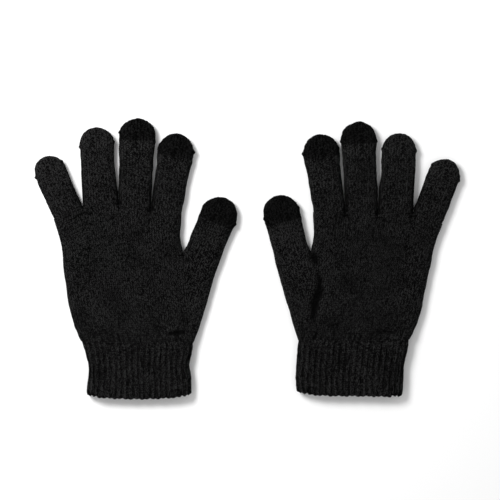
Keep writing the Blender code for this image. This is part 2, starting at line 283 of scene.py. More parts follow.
def outward(rings):
    """Unit normals of a stack of rings, pointing out of the tube."""
    n = rings.shape[1] // 2
    before, after = np.roll(rings, 1, axis=1), np.roll(rings, -1, axis=1)
    around = after - before
    around[:, 0] = around[:, -1] = rings[:, 1] - rings[:, -2]
    shut = np.linalg.norm(rings[:, n - 1] - rings[:, n], axis=1) < 1e-6
    joined = rings[:, n + 1] - rings[:, n - 2]
    around[:, n - 1] = np.where(shut[:, None], joined, rings[:, n - 1] - rings[:, n - 2])
    around[:, n] = np.where(shut[:, None], joined, rings[:, n + 1] - rings[:, n])
    along = np.gradient(rings, axis=0)
    normal = np.cross(around, along)
    size = np.linalg.norm(normal, axis=2, keepdims=True)
    normal = np.where(size > 1e-9, normal / np.maximum(size, 1e-9), 0.0)
    centre = rings.mean(axis=1, keepdims=True)
    turn = np.sign((normal * (rings - centre)).sum(axis=(1, 2)))
    return normal * np.median(turn)


# ---------------------------------------------------------------- relief

def ripple(rings, seed, size, low, high, waves=14):
    """A smooth random relief over places, with wavelengths from low to high."""
    random = np.random.default_rng(seed)
    out = np.zeros(rings.shape[:2])
    for _ in range(waves):
        angle, phase = random.uniform(0, 2 * math.pi, 2)
        k = 2 * math.pi / random.uniform(low, high)
        way = np.array([math.cos(angle), math.sin(angle), random.uniform(-0.6, 0.6)])
        out += np.sin(k * (rings @ way) + phase)
    return out * size / math.sqrt(waves / 2)


def stitch_relief(u, v):
    """The depth of the stitches at u wales and v courses, from 0 on their tops."""
    s = u + 0.5 - np.floor(u + 0.5)
    wale = np.sin(math.pi * s) ** 0.8 - 0.3 * np.exp(-(((s - 0.5) / 0.13) ** 2))
    loop = 0.16 * np.cos(2 * math.pi * v)
    return STITCH_DEPTH * (wale - 1 + loop)


def near_line(rings, line, width, offset=0.0):
    """1 beside a line in plan, at the offset from it, falling to 0 away from it and at its ends."""
    out = np.zeros(rings.shape[:2])
    for t, p in zip(np.linspace(0, 1, len(line)), line):
        gap = np.hypot(rings[..., 0] - p[0], rings[..., 1] - p[1])
        taper = math.sqrt(max(math.sin(math.pi * (0.06 + 0.88 * t)), 0.0))
        out = np.maximum(out, taper * np.exp(-(((gap - offset) / width) ** 2)))
    return out


def fold_relief(glove, rings, middle):
    """Creases pressed into the upper layer, each with a soft ridge beside it."""
    out = np.zeros(rings.shape[:2])
    for points, depth, width in glove["folds"]:
        line = curve(points, 16)
        valley = near_line(rings, line, width)
        shoulder = near_line(rings, line, 1.1 * width, 2.2 * width) * (1 - valley)
        out += depth * (0.2 * shoulder - valley)
    return np.where(rings[..., 2] > middle, out, 0.0)


def fold_shade(glove, rings, middle):
    """Painted shade along the creases: extra darkening of the yarn where less light reaches it."""
    out = np.zeros(rings.shape[:2])
    for points, depth, width in glove["folds"]:
        out += 0.28 * depth * near_line(rings, curve(points, 16), 1.3 * width)
    return np.where(rings[..., 2] > middle, out, 0.0)


def side_swell(rings, side):
    """A closed side that stands out a little: -1 is the first edge of the sections, 1 the last."""
    n = rings.shape[1] // 2
    edge = rings[:, :1] if side < 0 else rings[:, n - 1:n]
    gap = np.linalg.norm(rings[..., :2] - edge[..., :2], axis=2)
    return SWELL * np.exp(-((gap / 1.5) ** 2))


# ---------------------------------------------------------------- meshes

def add_object(name, data):
    obj = bpy.data.objects.new(name, data)
    bpy.context.scene.collection.objects.link(obj)
    return obj


def to_world(glove, points):
    points = np.asarray(points, float)
    out = np.empty_like(points)
    out[..., 0] = glove["origin"][0] + glove["mirror"] * points[..., 0] + PAIR_SHIFT[0]
    out[..., 1] = glove["origin"][1] + points[..., 1] + PAIR_SHIFT[1]
    out[..., 2] = points[..., 2]
    return out * MM


def grid_object(glove, name, rings, knit, painted_shade_and_tone, closed, material):
    """A mesh over a stack of rings, with the stitch coordinates as a UV map.

    The per-point shade values are painted shade: the yarn's colour is drawn darker where a point lies deep
    in the relief, as if less light reached it, and negative values draw lighter yarn.
    """
    rows, columns = rings.shape[:2]
    index = np.arange(rows * columns).reshape(rows, columns)
    last = rows if closed else rows - 1
    a = index[np.arange(last)]
    b = index[(np.arange(last) + 1) % rows]
    quads = np.stack([a, np.roll(a, -1, 1), np.roll(b, -1, 1), b], axis=-1).reshape(-1, 4)
    mesh = bpy.data.meshes.new(name)
    mesh.vertices.add(rows * columns)
    mesh.vertices.foreach_set("co", to_world(glove, rings).reshape(-1).astype(np.float32))
    mesh.loops.add(quads.size)
    mesh.loops.foreach_set("vertex_index", quads.reshape(-1).astype(np.int32))
    mesh.polygons.add(len(quads))
    mesh.polygons.foreach_set("loop_start", np.arange(0, quads.size, 4, dtype=np.int32))
    mesh.update(calc_edges=True)
    uv = mesh.uv_layers.new(name="knit")
    uv.data.foreach_set("uv", knit.reshape(-1, 2)[quads.reshape(-1)].reshape(-1).astype(np.float32))
    shade_and_tone_attribute = mesh.attributes.new("painted_shade_and_tone", "FLOAT", "POINT")
    shade_and_tone_attribute.data.foreach_set("value", painted_shade_and_tone.reshape(-1).astype(np.float32))
    work = bmesh.new()
    work.from_mesh(mesh)
    bmesh.ops.remove_doubles(work, verts=work.verts, dist=2e-6)
    bmesh.ops.dissolve_degenerate(work, edges=work.edges, dist=1e-6)
    bmesh.ops.recalc_face_normals(work, faces=work.faces)
    for face in work.faces:
        face.smooth = True
    for edge in work.edges:
        edge.smooth = edge.calc_face_angle(0.0) < math.radians(58)
    work.to_mesh(mesh)
    work.free()
    mesh.materials.append(material)
    return add_object(name, mesh)


def hollow(glove, name, outer, knit, relief, middles, material, inner_rows=6, pole=False, shade=0.0):
    """Presses the relief into the outer rings and closes the piece with a plain inner wall."""
    skin = outer + outward(outer) * np.maximum(relief, DEEPEST)[..., None]
    skin[..., 2] = np.maximum(skin[..., 2], 0.0)
    picks = np.unique(np.linspace(0, len(outer) - 1, inner_rows).astype(int))
    if pole:
        picks = picks[:-1]
    inside = np.stack([inner_ring(outer[k], middles[k]) for k in picks])
    flat = knit[picks]
    if pole:
        top = outer[-1].mean(axis=0) - (outer[-1].mean(axis=0) - outer[0].mean(axis=0)) * 0.1
        inside = np.concatenate([inside, np.broadcast_to(top, inside[:1].shape)])
        flat = np.concatenate([flat, flat[-1:]])
    rings = np.concatenate([inside[::-1], skin])
    knits = np.concatenate([flat[::-1], knit])
    # painted shade: the inner wall is drawn darker and the outer skin darker in the relief's hollows, plus
    # the shade passed in and the glove's painted falloff shade
    painted_shade_and_tone = np.concatenate([np.full(flat.shape[:2], 0.6), shade + glove["falloff_shade"] - relief])
    return grid_object(glove, name, rings, knits, painted_shade_and_tone, not pole, material)


def tube(name, points, radius, sides, material, steps=6):
    """A round thread along points in metres, closed at both ends."""
    line = even(curve(points, steps), (len(points) - 1) * steps)
    along = np.gradient(line, axis=0)
    along /= np.linalg.norm(along, axis=1, keepdims=True)
    up = np.tile([0.0, 0.0, 1.0], (len(line), 1))
    side = np.cross(along, up)
    side /= np.maximum(np.linalg.norm(side, axis=1, keepdims=True), 1e-9)
    up = np.cross(side, along)
    angle = np.linspace(0, 2 * math.pi, sides, endpoint=False)
    run = lengths(line)
    swell = radius * (1 + 0.14 * np.sin(run[:, None] / radius * 1.3 + 2 * angle[None, :]))
    swell[0] = swell[-1] = radius * 0.25
    rings = line[:, None] + swell[..., None] * (
        np.cos(angle)[None, :, None] * side[:, None] + np.sin(angle)[None, :, None] * up[:, None])
    mesh = bpy.data.meshes.new(name)
    rows = len(line)
    faces = [
        (r * sides + c, r * sides + (c + 1) % sides, (r + 1) * sides + (c + 1) % sides, (r + 1) * sides + c)
        for r in range(rows - 1) for c in range(sides)
    ]
    faces += [tuple(range(sides))[::-1], tuple(range((rows - 1) * sides, rows * sides))]
    mesh.from_pydata(rings.reshape(-1, 3).tolist(), [], faces)
    uv = mesh.uv_layers.new(name="knit")
    place = np.stack([np.broadcast_to(angle / (2 * math.pi), rings.shape[:2]),
                      np.broadcast_to(run[:, None] / (2 * radius), rings.shape[:2])], -1).reshape(-1, 2)
    loops = np.array([l.vertex_index for l in mesh.loops])
    uv.data.foreach_set("uv", place[loops].reshape(-1).astype(np.float32))
    mesh.shade_smooth()
    mesh.materials.append(material)
    return add_object(name, mesh)


# ---------------------------------------------------------------- the glove's own shape

def wales_of(glove, finger):
    k = FINGERS.index(finger)
    left, right = (np.array(p) for p in glove["knuckles"][k:k + 2])
    return int(round((np.linalg.norm(right - left) + ROUND_SIDES) / WALE))


def palm_thickness(y, top):
    return FLAT + (CUFF_FLAT - FLAT) * max(0.0, 1.0 - (y / top) / TAPER_END)


def crease_point(glove, y):
    """The crease at the base of the thumb, a straight line from the wrist's corner to the fork."""
    corner, fork = np.array(glove["thumb_side"][0]), np.array(glove["fork"])
    return corner + (fork - corner) * (y - corner[1]) / (fork[1] - corner[1])


def thumb_middle(glove):
    fork = np.array(glove["fork"])
    level = fork[1] - 4
    return (fork + np.array([x_at(glove["thumb_side"], level), level])) / 2


def finger_middle(glove, finger):
    if finger == "thumb":
        return thumb_middle(glove)
    k = FINGERS.index(finger)
    return (np.array(glove["knuckles"][k]) + np.array(glove["knuckles"][k + 1])) / 2


def ear_pushes(glove, finger, above):
    """How far the corners of a knitted tip push its two edges out."""
    return [size * math.exp(-(((above - at) / EAR_HEIGHT) ** 2)) for size, at in glove["ears"][finger]]


def cap_edges(glove, finger, above):
    """Both edges of a finger at a distance above its cap's middle, with the tip's knitted corners."""
    x, y, radius = glove["caps"][finger]
    along = np.array([x, y]) - finger_middle(glove, finger)
    along /= np.linalg.norm(along)
    across = np.array([along[1], -along[0]])
    half = math.sqrt(max(radius**2 - max(above, 0.0) ** 2, 0.0))
    centre = np.array([x, y]) + along * above
    left_ear, right_ear = ear_pushes(glove, finger, above)
    return centre - across * (half + left_ear), centre + across * (half + right_ear)


def thumb_edges(glove):
    """The thumb's inner and outer edge lines, row by row, and how many rows are below the fork."""
    seam = TIP_LENGTH["thumb"] - glove["caps"]["thumb"][2]
    end_left, end_right = cap_edges(glove, "thumb", -seam)
    fork = np.array(glove["fork"])
    below = int(round(fork[1] / ROW))
    above = int(round(THUMB_REACH / ROW))
    whole = curve(glove["thumb_side"] + [tuple(end_right)])
    split = THUMB_SPANS * CURVE_STEPS
    outer = np.vstack([even(whole[:split + 1], below), even(whole[split:], above)[1:]])
    crease = np.linspace(glove["thumb_side"][0], fork, below + 1)
    inside = even(curve(glove["thumb_inside"] + [tuple(end_left)]), above)
    return np.vstack([crease, inside[1:]]), outer, below


def palm_rows(glove):
    """The palm's rings, their middles and which of them are below the thumb's fork."""
    knuckles = np.array(glove["knuckles"])
    top = knuckles[-1][1]
    fork = np.array(glove["fork"])
    inner, outer, below = thumb_edges(glove)
    thumb_width = np.linalg.norm(outer - inner, axis=1)[:below + 1]
    counts = [wales_of(glove, f) * PER_WALE for f in FINGERS]
    rows = int(round(knuckles[:, 1].mean() / ROW))
    shares = clustered()
    rings, middles, open_side = [], [], []
    for share in np.linspace(0, 1, rows + 1):
        right_y = share * top
        left_x = x_at(glove["little_side"], share * knuckles[0][1])
        if right_y < fork[1]:
            right_x = crease_point(glove, right_y)[0]
            beyond = float(np.interp(right_y, inner[:below + 1, 1], thumb_width))
            dip = smooth(1 - (fork[1] - right_y) / THUMB_DIP)
        else:
            right_x, beyond, dip = x_at(glove["index_side"], right_y), 0.0, 1.0
        height = palm_thickness(right_y, top)
        spread = (knuckles[:, 0] - knuckles[0][0]) / (knuckles[-1][0] - knuckles[0][0])
        corners_x = left_x + (right_x - left_x) * (
            np.linspace(0, 1, 5) * (1 - share**2) + spread * share**2)
        corners = np.column_stack([corners_x, share * knuckles[:, 1]])
        plans, halves = [], []
        for k in range(4):
            plan = corners[k] + (corners[k + 1] - corners[k]) * shares[:, None]
            gap = [np.linalg.norm(plan - c, axis=1) for c in corners]
            form = bulge(gap[0])
            if beyond > 0:
                form = form * bulge(gap[4] + beyond) * (1 - (1 - bulge(gap[4])) * dip)
            else:
                form = form * bulge(gap[4])
            for j in (1, 2, 3):
                fade = smooth(1 - (1 - share) * knuckles[j][1] / FORK_DIP)
                form = form * (1 - (1 - bulge(gap[j])) * fade)
            plans.append(plan)
            halves.append(form * height / 2)
        rings.append(ring_of(plans, halves, counts, height / 2))
        middles.append(height / 2)
        open_side.append(right_y < fork[1])
    return np.stack(rings), np.array(middles), np.array(open_side)


def knit_places(rings, wales, start=0.0):
    """u in wales round each ring and v in courses along the rings."""
    rows, columns = rings.shape[:2]
    n = columns // 2
    u = np.concatenate([np.linspace(0, wales, n), np.linspace(wales, 2 * wales, n)])
    step = np.linalg.norm(np.diff(rings.mean(axis=1), axis=0), axis=1)
    v = start + np.concatenate([[0], np.cumsum(step)]) / COURSE
    return np.stack(np.broadcast_arrays(u[None, :], v[:, None]), axis=-1).copy()


def away_from_crease(rings, inner, keep):
    """0 on the crease line and 1 a little way from it, so that both sides of it stay together."""
    n = rings.shape[1] // 2
    edge = rings[:, n - 1:n] if inner == "right" else rings[:, :1]
    gap = np.linalg.norm(rings[..., :2] - edge[..., :2], axis=2)
    fade = smooth(gap / CREASE_FADE)
    fade[~keep] = 1.0
    return fade


def rib_wave(rib):
    """Height across the ribs, 1 on a ridge and 0 in a valley, at a place counted in ribs."""
    wave = 0.5 - 0.5 * np.cos(2 * math.pi * rib)
    return np.clip(wave * 1.25, 0, 1) ** 0.75


def rib_sway(glove, rib, y):
    """A little wander of the ribs, the same on the cuff and above the wrist."""
    return 0.05 * np.sin(y / 5.1 + rib * 0.7 + glove["seed"]) + 0.04 * np.sin(y / 2.7 - rib * 1.3)


def rib_tops(glove, rib):
    """How far above the wrist line each rib dies out in the palm."""
    random = np.random.default_rng(glove["seed"] + 50)
    heights = random.uniform(1.5, 7.5, 2 * RIBS + 1)
    heights[-1] = heights[0]
    return np.interp(rib, np.arange(2 * RIBS + 1), heights)


def wrist_gather(rings, count, reach=16.0):
    """Small upright puckers where the wide palm is drawn in to the cuff."""
    y = rings[..., 1]
    phase = 2 * math.pi * rings[..., 0] / (WRIST_WIDTH / count)
    return 0.28 * np.sin(phase + 1.3 * np.sin(phase * 0.37)) * np.exp(-np.abs(y - 4) / reach * 2.2)


def make_palm(glove, material):
    rings, middles, open_side = palm_rows(glove)
    wales = sum(wales_of(glove, f) for f in FINGERS)
    knit = knit_places(rings, wales)
    relief = stitch_relief(knit[..., 0], knit[..., 1])
    relief += ripple(rings, glove["seed"], 0.2, 14, 45)
    relief += ripple(rings, glove["seed"] + 1, 0.04, 3, 9)
    relief += wrist_gather(rings, 19)
    relief += fold_relief(glove, rings, middles[:, None])
    relief += side_swell(rings, -1)
    relief *= smooth(rings[..., 1] / CREASE_FADE)
    n = rings.shape[1] // 2
    rib = np.concatenate([np.linspace(0, RIBS, n), np.linspace(RIBS, 2 * RIBS, n)])[None, :]
    size = smooth((rib_tops(glove, rib) + 2.5 - rings[..., 1]) / 5.0) * 0.8
    relief += RIB_DEPTH * size * (rib_wave(rib + rib_sway(glove, rib, rings[..., 1])) - 1)
    relief *= away_from_crease(rings, "right", open_side)
    top = rings[-1].mean(axis=0)[1]
    relief = np.where(relief > 0, relief * smooth((top + 6 - rings[..., 1]) / 8), relief)
    # painted shade in the creases
    shade = fold_shade(glove, rings, middles[:, None])
    palm = hollow(glove, f"{glove['name']}_palm_knit", rings, knit, relief, middles, material, shade=shade)
    return palm, rings, relief


def sleeve_corners(glove, finger):
    """A finger tube's four corners in plan: left and right at the palm, left and right at the tip."""
    k = FINGERS.index(finger)
    left, right = (np.array(p) for p in glove["knuckles"][k:k + 2])
    seam = TIP_LENGTH[finger] - glove["caps"][finger][2]
    drop = np.array(glove["caps"][finger][:2]) - (left + right) / 2
    drop /= np.linalg.norm(drop)
    far_left, far_right = cap_edges(glove, finger, -seam - 30.0)
    return left, right, far_left + drop * 30.0, far_right + drop * 30.0


def fork_opening(glove, j, height):
    """Half the space between the two fingers of a fork at a height above it, before they are pressed."""
    fork = np.array(glove["knuckles"][j])
    one = sleeve_corners(glove, FINGERS[j - 1])[3] - fork
    other = sleeve_corners(glove, FINGERS[j])[2] - fork
    turn = math.atan2(one[1], one[0]) - math.atan2(other[1], other[0])
    return height * math.sin(turn / 2)


def pressed(glove, k, height):
    """For a finger's two sides at a height above the palm: how far it is pushed out to its
    neighbour, and how much of its side is pressed flat."""
    out = []
    for j in (k, k + 1):
        reach = glove["touching"][j - 1] if j in (1, 2, 3) else 0.0
        if reach == 0:
            out.append((0.0, 0.0))
            continue
        near = 1 - float(smooth((height - reach) / 8))
        push = max(fork_opening(glove, j, height) - SLIT / 2, 0.0) * near
        out.append((push, near * float(smooth(height / 3))))
    return out


def beside_fork(rings, along, left, right, width, low, high):
    """1 on the sides that face a neighbouring finger near the fork, 0 away from them."""
    n = rings.shape[1] // 2
    out = np.zeros(rings.shape[:2])
    for wanted, edge in ((left, rings[:, :1]), (right, rings[:, n - 1:n])):
        if wanted:
            gap = np.linalg.norm(rings[..., :2] - edge[..., :2], axis=2)
            out += np.exp(-((gap / width) ** 2)) * smooth((high - along) / (high - low))
    return np.minimum(out, 1.0)


def make_sleeve(glove, finger, material):
    k = FINGERS.index(finger)
    left, right, end_left, end_right = sleeve_corners(glove, finger)
    seam = TIP_LENGTH[finger] - glove["caps"][finger][2]
    length = np.linalg.norm(np.array(glove["caps"][finger][:2]) - (left + right) / 2) - seam
    rows = int(round(length / ROW))
    wales = wales_of(glove, finger)
    shares = clustered()
    rings = []
    for r in range(rows + 1):
        t = r / rows
        a, b = left + (end_left - left) * t, right + (end_right - right) * t
        ear_left, ear_right = ear_pushes(glove, finger, -seam - length * (1 - t))
        (push_left, flat_left), (push_right, flat_right) = pressed(glove, k, length * t)
        side = (b - a) / np.linalg.norm(b - a)
        waist_left, waist_right = (w * math.sin(math.pi * t**1.5) for w in glove["waist"][finger])
        a = a - side * (ear_left + push_left - waist_left)
        b = b + side * (ear_right + push_right - waist_right)
        plan = a + (b - a) * shares[:, None]
        gap_a, gap_b = np.linalg.norm(plan - a, axis=1), np.linalg.norm(plan - b, axis=1)
        form = 1 - (1 - bulge(gap_a)) * (1 - PRESSED * flat_left)
        form = form * (1 - (1 - bulge(gap_b)) * (1 - PRESSED * flat_right))
        rings.append(ring_of([plan], [form * FLAT / 2], [wales * PER_WALE], FLAT / 2))
    rings = np.stack(rings)
    knit = knit_places(rings, wales, SLEEVE_START)
    relief = stitch_relief(knit[..., 0], knit[..., 1])
    along = np.linspace(0, length, rows + 1)[:, None]
    soft = ripple(rings, glove["seed"] + 3 + k, 0.17, 10, 34)
    soft += ripple(rings, glove["seed"] + 9 + k, 0.045, 3, 8)
    relief += soft * smooth(along / 5) * smooth((length - along) / 3)
    relief *= 1 - beside_fork(rings, along, k > 0, k < 3, 1.3, 22.0, 32.0) * smooth(along / 2)
    name = f"{glove['name']}_{finger}_sleeve_knit"
    # painted shade on the sides facing a neighbouring finger near the fork, less the yarn that is lighter
    # towards the tip
    shade = 1.7 * beside_fork(rings, along, k > 0, k < 3, 1.7, 14.0, 34.0)
    shade -= glove["lighter"][finger] * smooth(along / length)
    return hollow(glove, name, rings, knit, relief, np.full(rows + 1, FLAT / 2), material, shade=shade)


def make_thumb(glove, material):
    inner, outer, below = thumb_edges(glove)
    top = glove["knuckles"][-1][1]
    fork_y = glove["fork"][1]
    fork_width = np.linalg.norm(outer[below] - inner[below])
    wales = int(round((fork_width + ROUND_SIDES) / WALE))
    shares = clustered()
    rings, middles, spans = [], [], []
    for r, (a, b) in enumerate(zip(inner, outer)):
        height = palm_thickness(a[1], top)
        plan = a + (b - a) * shares[:, None]
        gap_a, gap_b = np.linalg.norm(plan - a, axis=1), np.linalg.norm(plan - b, axis=1)
        dip = float(smooth(1 - (fork_y - a[1]) / THUMB_DIP)) if r < below else 1.0
        half = bulge(gap_b) * (1 - (1 - bulge(gap_a)) * dip) * height / 2
        rings.append(ring_of([plan], [half], [wales * PER_WALE], height / 2))
        middles.append(height / 2)
        spans.append(lengths(rings[-1][:wales * PER_WALE + 1])[-1])
    rings, middles = np.stack(rings), np.array(middles)
    knit = knit_places(rings, wales)
    share = np.minimum(np.array(spans) / spans[below], 1.0)
    share[below:] = 1.0
    knit[..., 0] = wales + (knit[..., 0] - wales) * share[:, None]
    open_side = np.arange(len(rings)) < below
    relief = stitch_relief(knit[..., 0], knit[..., 1])
    wide = smooth(np.linalg.norm(outer - inner, axis=1) / 8)[:, None]
    left_to_go = (len(rings) - 1 - np.arange(len(rings)))[:, None] * ROW
    soft = ripple(rings, glove["seed"] + 20, 0.2, 12, 36)
    soft += ripple(rings, glove["seed"] + 21, 0.045, 3, 8)
    relief += soft * wide * smooth(left_to_go / 3)
    swell = side_swell(rings, 1) * smooth(left_to_go / 4)
    relief += (fold_relief(glove, rings, middles[:, None]) + swell) * wide
    relief *= away_from_crease(rings, "left", open_side) ** 2 * smooth(wide * 1.5)
    # painted shade in the creases, less the yarn that is lighter towards the tip
    shade = fold_shade(glove, rings, middles[:, None])
    shade -= glove["lighter"]["thumb"] * smooth((56 - left_to_go) / 44)
    name = f"{glove['name']}_thumb_sleeve_knit"
    return hollow(glove, name, rings, knit, relief, middles, material, shade=shade), rings


def make_tip(glove, finger, material):
    radius = glove["caps"][finger][2]
    seam = TIP_LENGTH[finger] - radius
    straight = int(round(seam / ROW))
    turned = int(round(radius * math.pi / 2 / ROW))
    levels = list(np.linspace(-seam, 0, straight + 1))
    levels += [radius * math.sin(a) for a in np.linspace(0, math.pi / 2, turned + 1)[1:]]
    if finger == "thumb":
        inner, outer, below = thumb_edges(glove)
        wales = int(round((np.linalg.norm(outer[below] - inner[below]) + ROUND_SIDES) / WALE))
    else:
        wales = wales_of(glove, finger)
    shares = clustered()
    rings, spans = [], []
    for above in levels:
        a, b = cap_edges(glove, finger, above)
        plan = a + (b - a) * shares[:, None]
        gap_a, gap_b = np.linalg.norm(plan - a, axis=1), np.linalg.norm(plan - b, axis=1)
        half = bulge(gap_a) * bulge(gap_b) * FLAT / 2
        rings.append(ring_of([plan], [half], [wales * PER_WALE], FLAT / 2))
        spans.append(lengths(rings[-1][:wales * PER_WALE + 1])[-1])
    rings = np.stack(rings)
    knit = knit_places(rings, wales, TIP_START)
    share = (np.array(spans) / spans[0])[:, None]
    u = knit[..., 0]
    centre = np.where(u <= wales, wales / 2, 1.5 * wales)
    knit[..., 0] = centre + (u - centre) * share
    relief = stitch_relief(knit[..., 0], knit[..., 1])
    rise = (np.array(levels) + seam)[:, None]
    relief += ripple(rings, glove["seed"] + 30 + len(finger), 0.16, 8, 24) * smooth(rise / 3)
    relief += ripple(rings, glove["seed"] + 40 + len(finger), 0.09, 2.5, 6) * smooth(rise / 2)
    to_apex = radius * (math.pi / 2 - np.arcsin(np.clip(np.array(levels) / radius, 0, 1)))
    relief *= smooth(to_apex / 3)[:, None]
    name = f"{glove['name']}_{finger}_tip_knit"
    shade = 0.0 if finger in CONDUCTIVE else -1.35 * glove["lighter"][finger]
    middles = np.full(len(rings), FLAT / 2)
    return hollow(glove, name, rings, knit, relief, middles, material, inner_rows=4, pole=True, shade=shade)


def cuff_edges(glove, share):
    """Both ends of a section of the cuff, at a share of its height from the wrist to the hem."""
    little, thumb = curve(glove["cuff_little_side"], 40), curve(glove["cuff_thumb_side"], 40)
    k = np.clip(share, 0, 1) * (len(little) - 1)
    at = np.arange(len(little))
    return (np.array([np.interp(k, at, little[:, 0]), np.interp(k, at, little[:, 1])]),
            np.array([np.interp(k, at, thumb[:, 0]), np.interp(k, at, thumb[:, 1])]))


def cuff_ring(glove, share, inset=0.0, counts=RIBS * PER_RIB):
    """One section of the cuff, optionally pulled in from its outer face."""
    left, right = cuff_edges(glove, share)
    side = (right - left) / np.linalg.norm(right - left)
    above_hem = abs(glove["cuff_little_side"][-1][1]) * (1 - share)
    corner = 1 - min(above_hem / HEM_CORNER, 1.0)
    inset_there = inset + HEM_CORNER * (1 - math.sqrt(1 - corner**2))
    left, right = left + side * inset_there, right - side * inset_there
    shares = clustered()
    plan = left + (right - left) * shares[:, None]
    out = 2 * shares - 1
    rise = np.where(out < 0, *glove["hem_rise"]) * out**2 * share**2
    rise += (glove["hem_lift"] * (1 - out**2) + HEM_ROLL) * share**2
    gap_a, gap_b = np.linalg.norm(plan - left, axis=1), np.linalg.norm(plan - right, axis=1)
    half = bulge(gap_a, EDGE - inset) * bulge(gap_b, EDGE - inset) * (CUFF_FLAT / 2 - inset)
    plan = plan + np.column_stack([np.zeros_like(rise), rise])
    return ring_of([plan], [half], [counts], CUFF_FLAT / 2)


def make_cuff(glove, material):
    length = abs(glove["cuff_little_side"][-1][1])
    rows = int(round(length / ROW))
    outer = np.stack([cuff_ring(glove, r / rows) for r in range(rows + 1)])
    columns = outer.shape[1]
    n = columns // 2
    rib = np.concatenate([np.linspace(0, RIBS, n), np.linspace(RIBS, 2 * RIBS, n)])[None, :]
    down = np.linspace(0, length, rows + 1)[:, None]
    wave = rib_wave(rib + rib_sway(glove, rib, outer[..., 1]))
    size = 0.8 + 0.2 * smooth((down - 4) / 10)
    knit = knit_places(outer, RIBS * 2)
    knit[..., 0] = rib * 2
    loop = 0.07 * np.cos(2 * math.pi * knit[..., 1] + math.pi * np.floor(knit[..., 0] + 0.5))
    relief = RIB_DEPTH * size * (wave - 1) + loop * smooth(down / 2)
    relief += ripple(outer, glove["seed"] + 52, 0.22, 12, 40) * smooth(down / 3)
    relief += ripple(outer, glove["seed"] + 53, 0.1, 3, 8) * smooth(down / 3)
    normal = outward(outer)
    skin = outer + normal * relief[..., None]
    down_way = np.array([0.0, -1.0, 0.0])
    scallop = (0.55 * (wave[-1] - 0.6) + 0.25 * np.sin(rib[0] * 2.4 + 1.0))[:, None]
    skin[-6:] += down_way * scallop[None] * smooth(np.linspace(0.1, 1, 6))[:, None, None]
    lip = []
    for angle in np.linspace(0, math.pi, 8)[1:]:
        turn = normal[-1] * WALL / 2 * (1 - math.cos(angle))
        lip.append(skin[-1] + down_way * HEM_ROLL * math.sin(angle) - turn)
    inner = []
    steps = 26
    for k in range(1, steps + 1):
        share = 1 - k / steps
        ring = cuff_ring(glove, share, WALL)
        bump = 0.35 * (1 - wave[int(round(share * rows))]) * min(1.0, k / 3)
        inner.append(ring - outward(np.stack([ring, ring + [0, 1, 0]]))[0] * bump[:, None] * 0.6)
    rings = np.concatenate([skin, np.stack(lip), np.stack(inner)])
    rings[..., 2] = np.maximum(rings[..., 2], 0.0)
    v_lip = knit[-1:, :, 1] + np.arange(1, len(lip) + 1)[:, None] * 0.3
    v_in = v_lip[-1:] + np.arange(1, steps + 1)[:, None] * length / steps / COURSE
    u_all = np.broadcast_to(knit[:1, :, 0], (len(lip) + steps, columns))
    more = np.stack([u_all, np.concatenate([v_lip, v_in])], axis=-1)
    knits = np.concatenate([knit, more])
    # painted shade: the ribs' valleys are drawn darker, the inside of the cuff darker still, plus the
    # glove's painted falloff shade
    cuff_painted_shade = glove["falloff_shade"] - 0.2 - 0.85 * relief
    painted_shade_and_tone = np.concatenate([cuff_painted_shade, np.repeat(cuff_painted_shade[-1:], len(lip), axis=0), np.full((steps, columns), 0.7)])
    return grid_object(glove, f"{glove['name']}_cuff_rib", rings, knits, painted_shade_and_tone, True, material)


def make_elastic(glove, material):
    """One elastic thread wound round inside the cuff, from the wrist to the hem."""
    half = ELASTIC_STEPS // 2
    points = []
    for k in range(ELASTIC_TURNS * ELASTIC_STEPS + 1):
        share = 0.08 + 0.84 * k / (ELASTIC_TURNS * ELASTIC_STEPS)
        ring = cuff_ring(glove, share, WALL + GAP + ELASTIC_RADIUS, half)
        loop = np.vstack([ring[:half + 1], ring[half + 2:-1]])
        points.append(loop[k % ELASTIC_STEPS])
    world = to_world(glove, np.array(points))
    return tube(f"{glove['name']}_elastic_cord", world, ELASTIC_RADIUS * MM, 8, material, 2)


def surface_z(rings, relief, x, y):
    """Height of the palm's upper layer near a place."""
    gap = np.hypot(rings[..., 0] - x, rings[..., 1] - y)
    gap = np.where(rings[..., 2] > 4.0, gap, 1e9)
    k = np.unravel_index(np.argmin(gap), gap.shape)
    return rings[k][2] + min(relief[k], 0.0)


def make_stitch(glove, name, rings, relief, material):
    """Closing stitches at a fork: one thread that dips into the knit between loops."""
    line = curve(glove["stitches"][name], 8)
    points = []
    for k, (x, y) in enumerate(even(line, max(6, int(lengths(line)[-1] / 0.8)))):
        lift = 0.5 + 0.35 * math.sin(k * 1.9)
        points.append((x, y + 0.3 * math.sin(k * 2.3), surface_z(rings, relief, x, y) + lift))
    world = to_world(glove, np.array(points))
    return tube(f"{glove['name']}_stitch_{name}_thread", world, THREAD_RADIUS * MM, 10, material, 4)


# ---------------------------------------------------------------- materials

